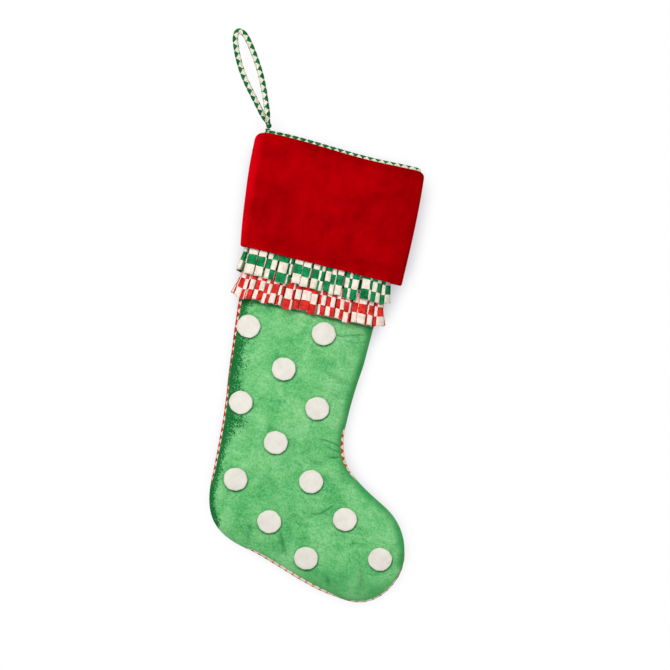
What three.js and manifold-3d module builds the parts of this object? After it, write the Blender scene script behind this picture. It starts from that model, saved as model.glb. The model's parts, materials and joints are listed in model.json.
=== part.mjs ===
// A padded Christmas stocking that hangs from a cord loop, as one group of named meshes.
// Millimetres, +Z up. The origin is where a hook bears inside the top of the loop, +X runs
// across the stocking from its heel side to its toe side, and +Y points to its back. The
// cuff slopes a little down to the toe side, as it does on a stocking hung by one corner.
import * as THREE from "three";
import { mergeVertices } from "three/addons/utils/BufferGeometryUtils.js";
import Module from "manifold-3d";

const wasm = await Module();
wasm.setup();

// ------------------------------------------------------------------ driving dimensions, mm
// The stocking is drawn upright in its own frame, with its origin on the heel-side seam at the
// rim: x across it, y to the back, z up. HANG_TILT then turns it about y to the way it hangs.
const HANG_TILT = THREE.MathUtils.degToRad(11.6);

const RIM = { left: -13.9, right: 188, zLeft: -2.5, zRight: -10.4 }; // top edge of the cuff
const CUFF_HEM = { left: -3.5, right: 185.6, zLeft: -137, zRight: -145 };
const CUFF_DEPTH = { top: 20.2, hem: 24.2 }; // half the cuff's thickness, front to back
const CUFF_VELVET = 1.8;
const CUFF_FACING = 1.2;

const BODY_HALF_DEPTH = 15; // crown of the padded body
const EDGE_ROLL = 30; // how far in from its edge the body rounds over
const SEAM_FLAT = 1; // half the thickness that is left at the very edge
const VELVET = 1.6;
const LINING = 1;
const GAP = 0.3; // clearance between neighbouring layers
const SEAM_GAP = 0.2; // half the gap between a front panel and its back panel
const SEAM_ALLOWANCE = 8; // the padding and lining stop this far inside the body's edge
const LAYERS_BELOW_RIM = 2.2; // the body's layers end under the rim piping

const PIPING_RADIUS = 3.2; // round the body
const RIM_PIPING_RADIUS = 3.4;
const PIPING_CLOTH = 1; // thickness of the bias cloth round each cord
const RIM_PIPING_RISE = 1.9; // centre of the rim piping above the cuff's top edge

const LOOP_FOOT = { x: -0.9, z: 6.6 }; // centre of the knot that the loop swings on
const LOOP_LENGTH = 115.4; // knot to the middle of the cord at the top
const LOOP_LEAN = THREE.MathUtils.degToRad(30.6); // off the stocking's own z, to the heel side
const LOOP_CROSSING = 3.5; // one leg of the loop passes this far in front, the other behind
const LOOP_RADIUS = 3.4;
const LOOP_STEPS = 35; // odd, so that one facet lies level at the very top
const CORD_SIDES = 8;
const KNOT_RADIUS = 3.4;
const NECK_RADIUS = 3.2;

const DOT_RADIUS = 14;
const DOT_THICKNESS = 2;
const DOT_CENTRES = [
  [23, -226], [110, -217], [73, -266], [32, -314], [120, -303], [81, -351],
  [130, -387], [44, -402], [177, -422], [92, -442], [142, -475], [226, -459],
];

const CURVE_STEPS = 5; // facets per Bezier stretch of the outline
const ROLL_STEPS = 2; // facets across the rolled edge
const RING_STEPS = 32; // facets round a sleeve
const FAR = 1000; // reaches past the whole object

// ------------------------------------------------------------------ materials
const cloth = (color, roughness = 0.9) =>
  new THREE.MeshStandardMaterial({ color, roughness, metalness: 0 });
const GREEN_VELVET = cloth(0x46b35a, 0.8);
const RED_VELVET = cloth(0xa80009, 0.8);
const CREAM_FELT = cloth(0xefeae0);
const GREEN_CHECK = cloth(0x0f8048);
const RED_CHECK = cloth(0xe23027);
const RED_LINING = cloth(0xb01018, 0.6);
const BATTING = cloth(0xf4f2ec, 1);
const COTTON_CORD = cloth(0xeee6d6, 1);
const GREEN_THREAD = cloth(0x0c6a3c);

// ------------------------------------------------------------------ solids
// A closed three.js geometry as a manifold-3d solid, for joining and cutting.
function solid(geometry) {
  const bare = geometry.clone();
  bare.deleteAttribute("normal");
  bare.deleteAttribute("uv");
  const merged = mergeVertices(bare, 1e-4);
  return new wasm.Manifold(new wasm.Mesh({
    numProp: 3,
    vertProperties: merged.attributes.position.array,
    triVerts: new Uint32Array(merged.index.array),
  }));
}

function geometryOf(body) {
  const { vertProperties, triVerts } = body.getMesh();
  return new THREE.BufferGeometry()
    .setAttribute("position", new THREE.BufferAttribute(vertProperties, 3))
    .setIndex(new THREE.BufferAttribute(triVerts, 1));
}

function mesh(name, shape, material) {
  const geometry = shape.isBufferGeometry ? shape : geometryOf(shape);
  geometry.computeVertexNormals();
  const made = new THREE.Mesh(geometry, material);
  made.name = name;
  return made;
}

// ------------------------------------------------------------------ cutting tools
// Everything in front of the seam plane, and everything behind it.
const front = solid(new THREE.BoxGeometry(FAR, FAR, FAR * 2).translate(0, -FAR / 2 - SEAM_GAP, 0));
const back = solid(new THREE.BoxGeometry(FAR, FAR, FAR * 2).translate(0, FAR / 2 + SEAM_GAP, 0));

// Height of the cuff's sloping top edge at x.
const rimHeight = (x) => THREE.MathUtils.mapLinear(x, RIM.left, RIM.right, RIM.zLeft, RIM.zRight);

// Everything more than `drop` below the cuff's top edge.
function belowRim(drop) {
  const slope = Math.atan2(RIM.zLeft - RIM.zRight, RIM.right - RIM.left);
  return solid(
    new THREE.BoxGeometry(FAR, FAR, FAR)
      .translate(0, 0, -FAR / 2)
      .rotateY(slope)
      .translate(0, 0, rimHeight(0) - drop),
  );
}

// ------------------------------------------------------------------ the padded body
// The stocking seen from the front: down the heel side, round the foot and up the toe side.
// It starts and ends above the rim, where belowRim() trims it.
function bodyOutline() {
  const above = 40;
  return new THREE.Shape()
    .moveTo(-9, above)
    .lineTo(-9, -8)
    .bezierCurveTo(-9, -50, 6.6, -75, 6.6, -115) // narrows under the cuff
    .lineTo(6.6, -190)
    .bezierCurveTo(6.6, -230, 12, -280, 15.1, -320) // back of the leg
    .bezierCurveTo(17, -345, 18, -375, 18, -405)
    .bezierCurveTo(18, -455, 37, -469, 82, -478) // heel
    .bezierCurveTo(115, -487, 160, -511.5, 205, -511.5) // sole
    .bezierCurveTo(232, -511.5, 251.7, -485, 251.7, -459.4) // toe
    .bezierCurveTo(251.7, -436, 241, -414.5, 218, -401.4)
    .bezierCurveTo(195, -388, 173, -376, 162, -357) // instep
    .bezierCurveTo(157, -346, 154, -333, 154.3, -315) // ankle
    .bezierCurveTo(154.3, -290, 157, -262, 159.5, -245)
    .lineTo(166.5, -115)
    .bezierCurveTo(168.5, -80, 182.5, -60, 182.5, -16) // widens under the cuff
    .lineTo(182.5, above);
}
const OUTLINE = bodyOutline();

// A crowned solid with the body's outline drawn in by `inset`, flat inside EDGE_ROLL and
// rounding over to a thin edge.
function pillow(inset, halfDepth) {
  const geometry = new THREE.ExtrudeGeometry(OUTLINE, {
    curveSegments: CURVE_STEPS,
    depth: 2 * SEAM_FLAT,
    bevelThickness: halfDepth - SEAM_FLAT,
    bevelSize: EDGE_ROLL - inset,
    bevelOffset: -EDGE_ROLL,
    bevelSegments: ROLL_STEPS,
  });
  return solid(geometry.translate(0, 0, -SEAM_FLAT).rotateX(Math.PI / 2));
}

// One layer of the body, between two pillows, open at the mouth.
function layer(inset, halfDepth, thickness) {
  const outside = pillow(inset, halfDepth).intersect(belowRim(LAYERS_BELOW_RIM));
  return outside.subtract(pillow(inset + thickness, halfDepth - thickness));
}

// The body's edge drawn in by `inset`, as a path from the rim on the heel side to the rim on
// the toe side.
function seamPath(inset) {
  const edge = OUTLINE.getSpacedPoints(120).slice(1);
  const drawnIn = edge.map((point, i) => {
    const before = edge[Math.max(i - 1, 0)];
    const after = edge[Math.min(i + 1, edge.length - 1)];
    const along = after.clone().sub(before).normalize();
    return new THREE.Vector3(point.x - along.y * inset, 0, point.y + along.x * inset);
  });
  const top = LAYERS_BELOW_RIM + GAP;
  return new THREE.CatmullRomCurve3(drawnIn.filter((p) => p.z < rimHeight(p.x) - top));
}

// ------------------------------------------------------------------ cords
// A polygon whose flats face the axes.
function roundSection(radius, sides) {
  const corners = Array.from({ length: sides }, (_, i) => {
    const angle = ((i + 0.5) * 2 * Math.PI) / sides;
    return new THREE.Vector2(radius * Math.cos(angle), radius * Math.sin(angle));
  });
  return new THREE.Shape(corners);
}

function tube(path, radius, steps, boreRadius = 0) {
  const section = roundSection(radius, CORD_SIDES);
  if (boreRadius) section.holes.push(roundSection(boreRadius, 6));
  return new THREE.ExtrudeGeometry(section, { extrudePath: path, steps, bevelEnabled: false });
}

// A piping: bias cloth wrapped round a cotton filler cord.
function piping(name, path, radius, steps, clothMaterial) {
  const bore = radius - PIPING_CLOTH;
  return [
    mesh(`${name}_cover`, tube(path, radius, steps, bore), clothMaterial),
    mesh(`${name}_cord`, tube(path, (bore - GAP) * Math.cos(Math.PI / 6), steps), COTTON_CORD),
  ];
}

// ------------------------------------------------------------------ sleeves: cuff and ruffles
// The square root of a cosine and a sine give a rounded rectangle, |x|^4 + |y|^4 = 1.
const signedRoot = (value) => Math.sign(value) * Math.sqrt(Math.abs(value));

function roundedSquare(count) {
  return Array.from({ length: count }, (_, i) => {
    const angle = (2 * Math.PI * i) / count;
    return new THREE.Vector2(signedRoot(Math.cos(angle)), signedRoot(Math.sin(angle)));
  });
}

// A solid whose section is a rounded rectangle and whose front view is the four-sided figure
// between `top` and `hem`. Each end has left, right, zLeft, zRight and half its depth.
function loft(top, hem, overshoot = 0) {
  const { lerp } = THREE.MathUtils;
  const shape = new THREE.Shape(roundedSquare(RING_STEPS));
  const geometry = new THREE.ExtrudeGeometry(shape, { depth: 1, bevelEnabled: false });
  const points = geometry.attributes.position;
  for (let i = 0; i < points.count; i++) {
    const up = lerp(-overshoot, 1 + overshoot, points.getZ(i));
    const across = (points.getX(i) + 1) / 2;
    const left = lerp(hem.left, top.left, up);
    const right = lerp(hem.right, top.right, up);
    const hemZ = lerp(hem.zLeft, hem.zRight, across);
    const topZ = lerp(top.zLeft, top.zRight, across);
    const depth = points.getY(i) * lerp(hem.depth, top.depth, up);
    points.setXYZ(i, lerp(left, right, across), depth, lerp(hemZ, topZ, up));
  }
  return solid(geometry);
}

// The same end of a sleeve, drawn in all round by `wall`.
const drawIn = (end, wall) => ({
  ...end,
  left: end.left + wall,
  right: end.right - wall,
  depth: end.depth - wall,
});

// An open sleeve between two ends and its bore, which overshoots both ends.
function sleeve(top, hem, boreTop, boreHem) {
  return loft(top, hem).subtract(loft(boreTop, boreHem, 0.1));
}

function cuffLayer(inset, wall) {
  const top = drawIn({ ...RIM, depth: CUFF_DEPTH.top }, inset);
  const hem = drawIn({ ...CUFF_HEM, depth: CUFF_DEPTH.hem }, inset);
  return sleeve(top, hem, drawIn(top, wall), drawIn(hem, wall));
}

// A ruffle hangs from a tight head to a flared hem round a bore that clears the body.
function ruffle(name, head, hem, material) {
  const level = (end) => ({ ...end, zLeft: end.z, zRight: end.z });
  const bore = (end) => ({ ...level(end), left: 6.1, right: end.boreRight, depth: 16.1 });
  return mesh(name, sleeve(level(head), level(hem), bore(head), bore(hem)), material);
}

// ------------------------------------------------------------------ sub-parts of the stocking
function bodyPanels() {
  const outer = 1.5; // the velvet stops this far inside the piping's outer edge
  const channel = solid(tube(seamPath(PIPING_RADIUS), PIPING_RADIUS + GAP, 60));
  const velvet = layer(outer, BODY_HALF_DEPTH, VELVET).subtract(channel);
  const paddingDepth = BODY_HALF_DEPTH - VELVET - GAP;
  const paddingThickness = 4.5;
  const padding = layer(SEAM_ALLOWANCE, paddingDepth, paddingThickness);
  const liningInset = SEAM_ALLOWANCE + paddingThickness + GAP;
  const lining = layer(liningInset, paddingDepth - paddingThickness - GAP, LINING);
  return [
    mesh("body_front", velvet.intersect(front), GREEN_VELVET),
    mesh("body_back", velvet.intersect(back), GREEN_VELVET),
    mesh("padding_front", padding.intersect(front), BATTING),
    mesh("padding_back", padding.intersect(back), BATTING),
    mesh("lining_front", lining.intersect(front), RED_LINING),
    mesh("lining_back", lining.intersect(back), RED_LINING),
  ];
}

// Felt discs that follow the crowned front, each a round cut from a layer just above it.
function dots() {
  const under = -GAP;
  const over = under - DOT_THICKNESS;
  const felt = pillow(over, BODY_HALF_DEPTH - over).subtract(pillow(under, BODY_HALF_DEPTH - under));
  return DOT_CENTRES.map(([x, z], i) => {
    const punch = new THREE.CylinderGeometry(DOT_RADIUS, DOT_RADIUS, FAR, 20);
    const disc = felt.intersect(front).intersect(solid(punch.translate(x, 0, z)));
    return mesh(`dot_${String(i + 1).padStart(2, "0")}`, disc, CREAM_FELT);
  });
}

function sidePiping() {
  return piping("side_piping", seamPath(PIPING_RADIUS), PIPING_RADIUS, 60, RED_CHECK);
}

// Runs once round the mouth just inside the cuff, from one side of the loop's neck to the other.
class RimPath extends THREE.Curve {
  getPoint(t, target = new THREE.Vector3()) {
    const wall = CUFF_VELVET + CUFF_FACING + 2 * GAP + RIM_PIPING_RADIUS;
    const endGap = 0.013; // of a turn, the room for the neck between the two ends
    const angle = Math.PI + 2 * Math.PI * THREE.MathUtils.lerp(endGap, 1 - endGap, t);
    const across = (signedRoot(Math.cos(angle)) + 1) / 2;
    const x = THREE.MathUtils.lerp(LOOP_FOOT.x, RIM.right - wall, across);
    const y = (CUFF_DEPTH.top - wall) * signedRoot(Math.sin(angle));
    return target.set(x, y, rimHeight(x) + RIM_PIPING_RISE);
  }
}

function rimPiping() {
  return piping("rim_piping", new RimPath(), RIM_PIPING_RADIUS, 48, GREEN_CHECK);
}

function cuffPanels() {
  const velvet = cuffLayer(0, CUFF_VELVET);
  const facing = cuffLayer(CUFF_VELVET + GAP, CUFF_FACING);
  return [
    mesh("cuff_front", velvet.intersect(front), RED_VELVET),
    mesh("cuff_back", velvet.intersect(back), RED_VELVET),
    mesh("cuff_facing_front", facing.intersect(front), RED_LINING),
    mesh("cuff_facing_back", facing.intersect(back), RED_LINING),
  ];
}

function ruffles() {
  return [
    ruffle(
      "green_ruffle",
      { left: 4, right: 171, z: -122, depth: 18.2, boreRight: 167 },
      { left: -1.2, right: 175, z: -169.5, depth: 21, boreRight: 165.2 },
      GREEN_CHECK,
    ),
    ruffle(
      "red_ruffle",
      { left: 3, right: 173, z: -170, depth: 18.5, boreRight: 165.2 },
      { left: -3.5, right: 176.3, z: -197, depth: 21.6, boreRight: 163.8 },
      RED_CHECK,
    ),
  ];
}

// The loop's two ends, stitched together and sewn down into the heel-side seam.
function loopNeck() {
  const foot = rimHeight(LOOP_FOOT.x) - LAYERS_BELOW_RIM + GAP;
  const top = LOOP_FOOT.z - KNOT_RADIUS - GAP;
  const neck = new THREE.CylinderGeometry(NECK_RADIUS, NECK_RADIUS, top - foot, 12);
  neck.rotateX(Math.PI / 2);
  return mesh("loop_neck", neck.translate(LOOP_FOOT.x, 0, (top + foot) / 2), GREEN_CHECK);
}

// ------------------------------------------------------------------ the hanging loop
// A teardrop of cord in its own upright frame, with the knot at its origin. Its legs cross over
// at the foot, the rising one behind and the falling one in front.
function loopPath() {
  const side = [[0.8, 4.4, 1], [2.2, 15, 1], [6.4, 47, 0.5], [9.6, 78, 0], [8.6, 98, 0], [5.6, 110, 0]];
  const leg = (hand) => side.map(([x, z, cross]) =>
    new THREE.Vector3(-hand * x, hand * cross * LOOP_CROSSING, z));
  const top = new THREE.Vector3(0, 0, LOOP_LENGTH);
  return new THREE.CatmullRomCurve3([...leg(1), top, ...leg(-1).reverse()]);
}

// Height of the level facet inside the top of the loop, where a hook bears.
function seatHeight(path) {
  const besideTop = 0.5 - 0.5 / LOOP_STEPS;
  const flat = LOOP_RADIUS * Math.cos(Math.PI / CORD_SIDES);
  return path.getPointAt(besideTop).z - flat * path.getTangentAt(besideTop).x;
}

const LOOP_PATH = loopPath();

function hangingLoop() {
  const loop = new THREE.Group();
  loop.add(...piping("loop", LOOP_PATH, LOOP_RADIUS, LOOP_STEPS, GREEN_CHECK));
  loop.add(mesh("loop_knot", new THREE.SphereGeometry(KNOT_RADIUS, 14, 10), GREEN_THREAD));
  loop.rotation.y = -LOOP_LEAN;
  loop.position.set(LOOP_FOOT.x, 0, LOOP_FOOT.z);
  return loop;
}

// ------------------------------------------------------------------ assembly
const upright = new THREE.Group();
upright.add(...bodyPanels(), ...sidePiping(), ...dots());
upright.add(...cuffPanels(), ...rimPiping(), ...ruffles(), loopNeck(), hangingLoop());

// Turn the stocking to the way it hangs, and put the hook's seat at the origin.
const Y_AXIS = new THREE.Vector3(0, 1, 0);
const seat = new THREE.Vector3(0, 0, seatHeight(LOOP_PATH))
  .applyAxisAngle(Y_AXIS, -LOOP_LEAN)
  .add(new THREE.Vector3(LOOP_FOOT.x, 0, LOOP_FOOT.z))
  .applyAxisAngle(Y_AXIS, HANG_TILT);
upright.rotation.y = HANG_TILT;
upright.position.copy(seat).negate();

const stocking = new THREE.Group();
stocking.add(upright);

export default stocking;
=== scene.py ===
"""Looks for the hanging stocking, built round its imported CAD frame.

Shapes are written in the stocking's own upright frame, in millimetres: x runs from the heel
side to the toe side, y to the back, z up, with the origin on the rim at the heel-side seam.
Upright.to_row() turns them into the row frame, in metres. The loop's knot and the axis that
the loop flops about, both read from the CAD frame, fix where that upright frame lies.
"""

import json
import math
from collections import namedtuple

import bpy
import numpy as np
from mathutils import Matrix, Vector, noise
from mathutils.bvhtree import BVHTree


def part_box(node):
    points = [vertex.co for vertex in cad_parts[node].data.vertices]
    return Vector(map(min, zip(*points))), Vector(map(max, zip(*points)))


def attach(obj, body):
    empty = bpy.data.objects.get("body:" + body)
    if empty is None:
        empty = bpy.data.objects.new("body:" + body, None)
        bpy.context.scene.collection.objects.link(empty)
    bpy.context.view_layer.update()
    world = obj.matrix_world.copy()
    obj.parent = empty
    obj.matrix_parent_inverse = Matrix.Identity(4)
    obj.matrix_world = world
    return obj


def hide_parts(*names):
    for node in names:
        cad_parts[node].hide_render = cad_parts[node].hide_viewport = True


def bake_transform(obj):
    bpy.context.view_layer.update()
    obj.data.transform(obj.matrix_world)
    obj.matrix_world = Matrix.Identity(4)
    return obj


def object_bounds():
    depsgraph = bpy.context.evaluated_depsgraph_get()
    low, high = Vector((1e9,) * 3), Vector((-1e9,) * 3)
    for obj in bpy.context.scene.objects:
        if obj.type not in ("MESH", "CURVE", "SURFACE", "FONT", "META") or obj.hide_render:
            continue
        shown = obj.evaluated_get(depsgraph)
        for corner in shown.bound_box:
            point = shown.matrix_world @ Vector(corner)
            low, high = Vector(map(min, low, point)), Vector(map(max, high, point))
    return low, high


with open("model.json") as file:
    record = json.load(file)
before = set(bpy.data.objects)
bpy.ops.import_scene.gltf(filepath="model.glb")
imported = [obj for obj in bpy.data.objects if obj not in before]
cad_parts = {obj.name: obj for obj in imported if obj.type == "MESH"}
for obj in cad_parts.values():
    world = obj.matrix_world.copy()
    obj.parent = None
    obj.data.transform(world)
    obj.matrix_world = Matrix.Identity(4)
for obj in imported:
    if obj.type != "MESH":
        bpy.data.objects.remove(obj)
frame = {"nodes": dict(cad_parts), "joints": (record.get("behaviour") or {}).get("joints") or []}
CAD_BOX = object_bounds()
RNG = np.random.default_rng(7)

# ---- driving dimensions, mm
SIDES = (("front", -1), ("back", 1))  # each side of the stocking, and which way it faces along y
KNOT = np.array([-0.9, 0.0, 6.6])  # the knot's centre in the upright frame
LOOP_LEAN = math.radians(30.6)
LOOP_RADIUS = 3.3
KNOT_RADIUS = 3.4

LEG_ROWS, LEG_COLUMNS = 140, 32
LEG_PUFF = 11.0  # half the leg's depth before the pressure swells it
EDGE_ROLL = 30.0  # how far in from the seam the leg rounds over
SWELL_FRAMES = 20
SWELL_LIMIT = 5.0  # the furthest that the pressure may move the cloth
SWELL_SETTINGS = {
    "quality": 6, "mass": 0.25, "tension_stiffness": 30, "compression_stiffness": 30,
    "shear_stiffness": 12, "bending_stiffness": 1.2, "use_pressure": True,
    "uniform_pressure_force": 1.5, "vertex_group_mass": "pinned",
}

PIPING_RADIUS = 3.2
RIM_PIPING_RADIUS = 3.4
RIM_PIPING_DEPTH = 13.2  # half the distance between the mouth's two runs of piping
MOUTH_DEPTH = 10.6  # half the lining's opening, tucked under the piping
PADDING_DROP = 32.0  # from the rim to the wadding's top edge
TUBE_SIDES = 12
VELVET_THICKNESS = 1.1
COTTON_THICKNESS = 0.6
PIPING_CHECK = 6.35  # a quarter inch, cut on the bias

CHECK = 11.6  # the ruffles' check
PLEAT = 8.8  # an average gather's width
PLEAT_DEPTH = 5.4
PLEAT_STEPS = 14
RUFFLE_ROWS = 15
# A ruffle's edge: where it ends at the heel side and the toe side, its height at each, and half its
# depth. Each ruffle is sewn on at its head and ends at its hem.
Edge = namedtuple("Edge", "left right z_left z_right deep")
GREEN_HEAD = Edge(5.6, 168.4, -123, -127, 16.4)
GREEN_HEM = Edge(3.4, 170.2, -167.4, -171.0, 16.6)
RED_HEAD = Edge(6.0, 167.0, -160, -163, 15.6)
RED_HEM = Edge(1.8, 170.8, -195.2, -198.4, 16.0)

DOT_NAMES = sorted(name for name in frame["nodes"] if name.startswith("dot_"))
DOT_RADIUS = 13.8
DOT_THICKNESS = 1.7
DOT_SIDES = 48
DOT_SQUAT = 0.96  # its height as a share of its width
# From the rim to the middle: share of the radius, share of the thickness, how much it is an edge.
DOT_PROFILE = [
    (1.0, -0.4, 1.0), (1.0, 0.55, 1.0), (0.985, 0.85, 0.9), (0.95, 1.0, 0.45), (0.86, 1.05, 0.1),
    (0.65, 1.1, 0), (0.4, 1.15, 0), (0.15, 1.15, 0), (0.002, 1.15, 0),
]


# ---- small maths helpers
def smoothstep(low, high, value):
    t = np.clip((np.asarray(value, float) - low) / (high - low), 0, 1)
    return t * t * (3 - 2 * t)


def mix(a, b, t):
    return a + (b - a) * t


def signed_root(value):
    return np.sign(value) * np.sqrt(np.abs(value))


def wobble(points, size, seed=0.0):
    """Smooth noise from -1 to 1 at each point, with features of about size millimetres."""
    shift = Vector((seed * 17.3, seed * 5.1, seed * 9.7))
    flat = points.reshape(-1, 3)
    values = [noise.noise(Vector(p) / size + shift) for p in flat]
    return np.array(values).reshape(points.shape[:-1])


def bezier_path(start, *segments, steps=24):
    """Points along joined cubic Bezier segments; a segment of one point is a straight line."""
    points = [np.array(start, float)]
    for segment in segments:
        a, d = points[-1], np.array(segment[-1], float)
        if len(segment) == 1:
            b, c = mix(a, d, 1 / 3), mix(a, d, 2 / 3)
        else:
            b, c = np.array(segment[:2], float)
        for t in np.linspace(0, 1, steps + 1)[1:]:
            u = 1 - t
            points.append(a * u**3 + 3 * b * t * u**2 + 3 * c * t * t * u + d * t**3)
    return np.array(points)


def stacked(*parts):
    """Arrays of one shape as the last axis of one array, such as x, y and z."""
    return np.stack(parts, axis=-1)


def unit(vectors):
    return vectors / np.linalg.norm(vectors, axis=-1, keepdims=True)


def directions(path):
    """The direction of a polyline at each of its points."""
    return unit(np.gradient(path, axis=0))


def distances_along(path):
    """How far along a polyline each of its points lies."""
    return np.concatenate([[0], np.cumsum(np.linalg.norm(np.diff(path, axis=0), axis=1))])


def resample(path, fractions):
    """Points on a polyline at fractions of its length."""
    lengths = distances_along(path)
    at = np.asarray(fractions) * lengths[-1]
    return stacked(*(np.interp(at, lengths, part) for part in path.T))


def evenly(path, count):
    """That many points evenly spaced along a polyline."""
    return resample(path, np.linspace(0, 1, count))


def smooth_curve(knots, count):
    """A smooth curve through knots, as count points evenly spaced along it (Catmull-Rom)."""
    knots = np.array(knots, float)
    padded = np.vstack([2 * knots[0] - knots[1], knots, 2 * knots[-1] - knots[-2]])
    points = []
    for i in range(1, len(padded) - 2):
        p0, p1, p2, p3 = padded[i - 1 : i + 3]
        for t in np.linspace(0, 1, 12, endpoint=False):
            points.append(
                0.5 * (2 * p1 + (p2 - p0) * t + (2 * p0 - 5 * p1 + 4 * p2 - p3) * t**2
                       + (3 * p1 - p0 - 3 * p2 + p3) * t**3)
            )
    points.append(padded[-2])
    return evenly(np.array(points), count)


# ---- the upright frame
class Upright:
    """The stocking's own frame, found from the CAD frame."""

    def __init__(self):
        flop = next(j for j in frame["joints"] if j["name"] == "loop_flop")
        across = np.array(flop["axis"], float)
        back = np.array([0.0, 1.0, 0.0])
        self.axes = np.stack([across, back, np.cross(across, back)])
        low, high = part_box("loop_knot")
        self.origin = np.array((low + high) / 2) - (KNOT * 0.001) @ self.axes

    def to_row(self, points):
        return np.asarray(points, float) * 0.001 @ self.axes + self.origin

    def from_row(self, points):
        return (np.array(points) - self.origin) @ self.axes.T * 1000

    def box(self, node):
        """A CAD node's lowest and highest corners in this frame."""
        points = self.from_row([v.co for v in frame["nodes"][node].data.vertices])
        return points.min(axis=0), points.max(axis=0)


UPRIGHT = Upright()


# ---- building meshes
def finish_piece(piece, cloth, replaces=None, body="stocking"):
    """Gives a piece its cloth and the body it rides on, and hides the CAD node that it stands for."""
    piece.data.materials.append(cloth.material)
    for polygon in piece.data.polygons:
        polygon.use_smooth = True
    if body:
        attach(piece, body)
    if replaces:
        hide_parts(replaces)
    return piece


def new_object(name, data):
    """An object in the scene, holding a mesh, a light or a camera."""
    piece = bpy.data.objects.new(name, data)
    bpy.context.scene.collection.objects.link(piece)
    return piece


def grid_piece(name, points, uv, wrap=False, flip=False):
    """A piece over a grid of upright-frame points. A wrapped grid closes across its columns, and
    its uv has one column more. flip turns its faces over."""
    rows, columns = points.shape[:2]
    across = columns if wrap else columns - 1
    i, j = np.meshgrid(np.arange(rows - 1), np.arange(across), indexing="ij")
    corners = [(0, 0), (0, 1), (1, 1), (1, 0)]
    if flip:
        corners.reverse()
    faces = stacked(*((i + a) * columns + (j + b) % columns for a, b in corners))
    uv_faces = stacked(*((i + a) * uv.shape[1] + j + b for a, b in corners))
    mesh = bpy.data.meshes.new(name)
    vertices = UPRIGHT.to_row(points.reshape(-1, 3))
    mesh.from_pydata(vertices.tolist(), [], faces.reshape(-1, 4).tolist())
    layer = mesh.uv_layers.new(name="cloth")
    layer.data.foreach_set("uv", uv.reshape(-1, 2)[uv_faces.ravel()].ravel())
    mesh.update()
    return new_object(name, mesh)


def flat_uv(points):
    return points[..., [0, 2]] * 0.001


def no_uv(ring):
    """uv for a wrapped grid whose material doesn't use it."""
    return np.zeros((ring.shape[0], ring.shape[1] + 1, 2))


def apply_modifiers(piece):
    evaluated = piece.evaluated_get(bpy.context.evaluated_depsgraph_get())
    mesh = bpy.data.meshes.new_from_object(evaluated)
    piece.modifiers.clear()
    piece.data = mesh
    return piece


def thicken(piece, thickness, offset=-1):
    """Gives a sheet of cloth its thickness in millimetres."""
    solidify = piece.modifiers.new("cloth thickness", "SOLIDIFY")
    solidify.thickness = thickness * 0.001
    solidify.offset = offset
    return apply_modifiers(piece)


def upright_points(piece):
    """The piece's vertices in the upright frame, in millimetres."""
    flat = np.zeros(len(piece.data.vertices) * 3)
    piece.data.vertices.foreach_get("co", flat)
    return UPRIGHT.from_row(flat.reshape(-1, 3))


def set_upright_points(piece, points):
    piece.data.vertices.foreach_set("co", UPRIGHT.to_row(points).ravel())
    piece.data.update()


def bias_uv(along, around, check=PIPING_CHECK):
    """uv for a check cut on the bias, from distances along and around a cord."""
    return stacked(along + around, along - around) / (math.sqrt(2) * check)


def tube(name, path, radius, sides=TUBE_SIDES, check=PIPING_CHECK, turn=0.0, twist=0.0):
    """A round cord along a path, with uv in checks of a cloth cut on the bias."""
    tangent = directions(path)
    side = np.cross(tangent, [0.0, 1.0, 0.0])
    flat = np.linalg.norm(side, axis=1) < 0.2
    side[flat] = np.cross(tangent[flat], [0.0, 0.0, 1.0])
    side = unit(side)
    for k in range(1, len(path)):  # carry the first side along, so that the cloth doesn't twist
        side[k] = unit(side[k - 1] - tangent[k] * (side[k - 1] @ tangent[k]))
    up = np.cross(side, tangent)
    radius = np.broadcast_to(np.asarray(radius, float), (len(path),))
    # each end closes on a small ring
    path = np.vstack([path[:1], path, path[-1:]])
    side, up = (np.vstack([a[:1], a, a[-1:]]) for a in (side, up))
    radius = np.concatenate([[radius[0] * 0.05], radius, [radius[-1] * 0.05]])
    angle = np.linspace(0, 2 * math.pi, sides + 1)
    ring = angle[:-1]
    points = path[:, None] + radius[:, None, None] * (
        side[:, None] * np.cos(ring)[None, :, None] + up[:, None] * np.sin(ring)[None, :, None]
    )
    along = distances_along(path)
    u, v = np.meshgrid(along, angle * radius.max(), indexing="ij")
    v = v + turn + twist * u / along[-1]
    return grid_piece(name, points, bias_uv(u, v, check), wrap=True)


# ---- materials
Cloth = namedtuple("Cloth", "material slot")


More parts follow.
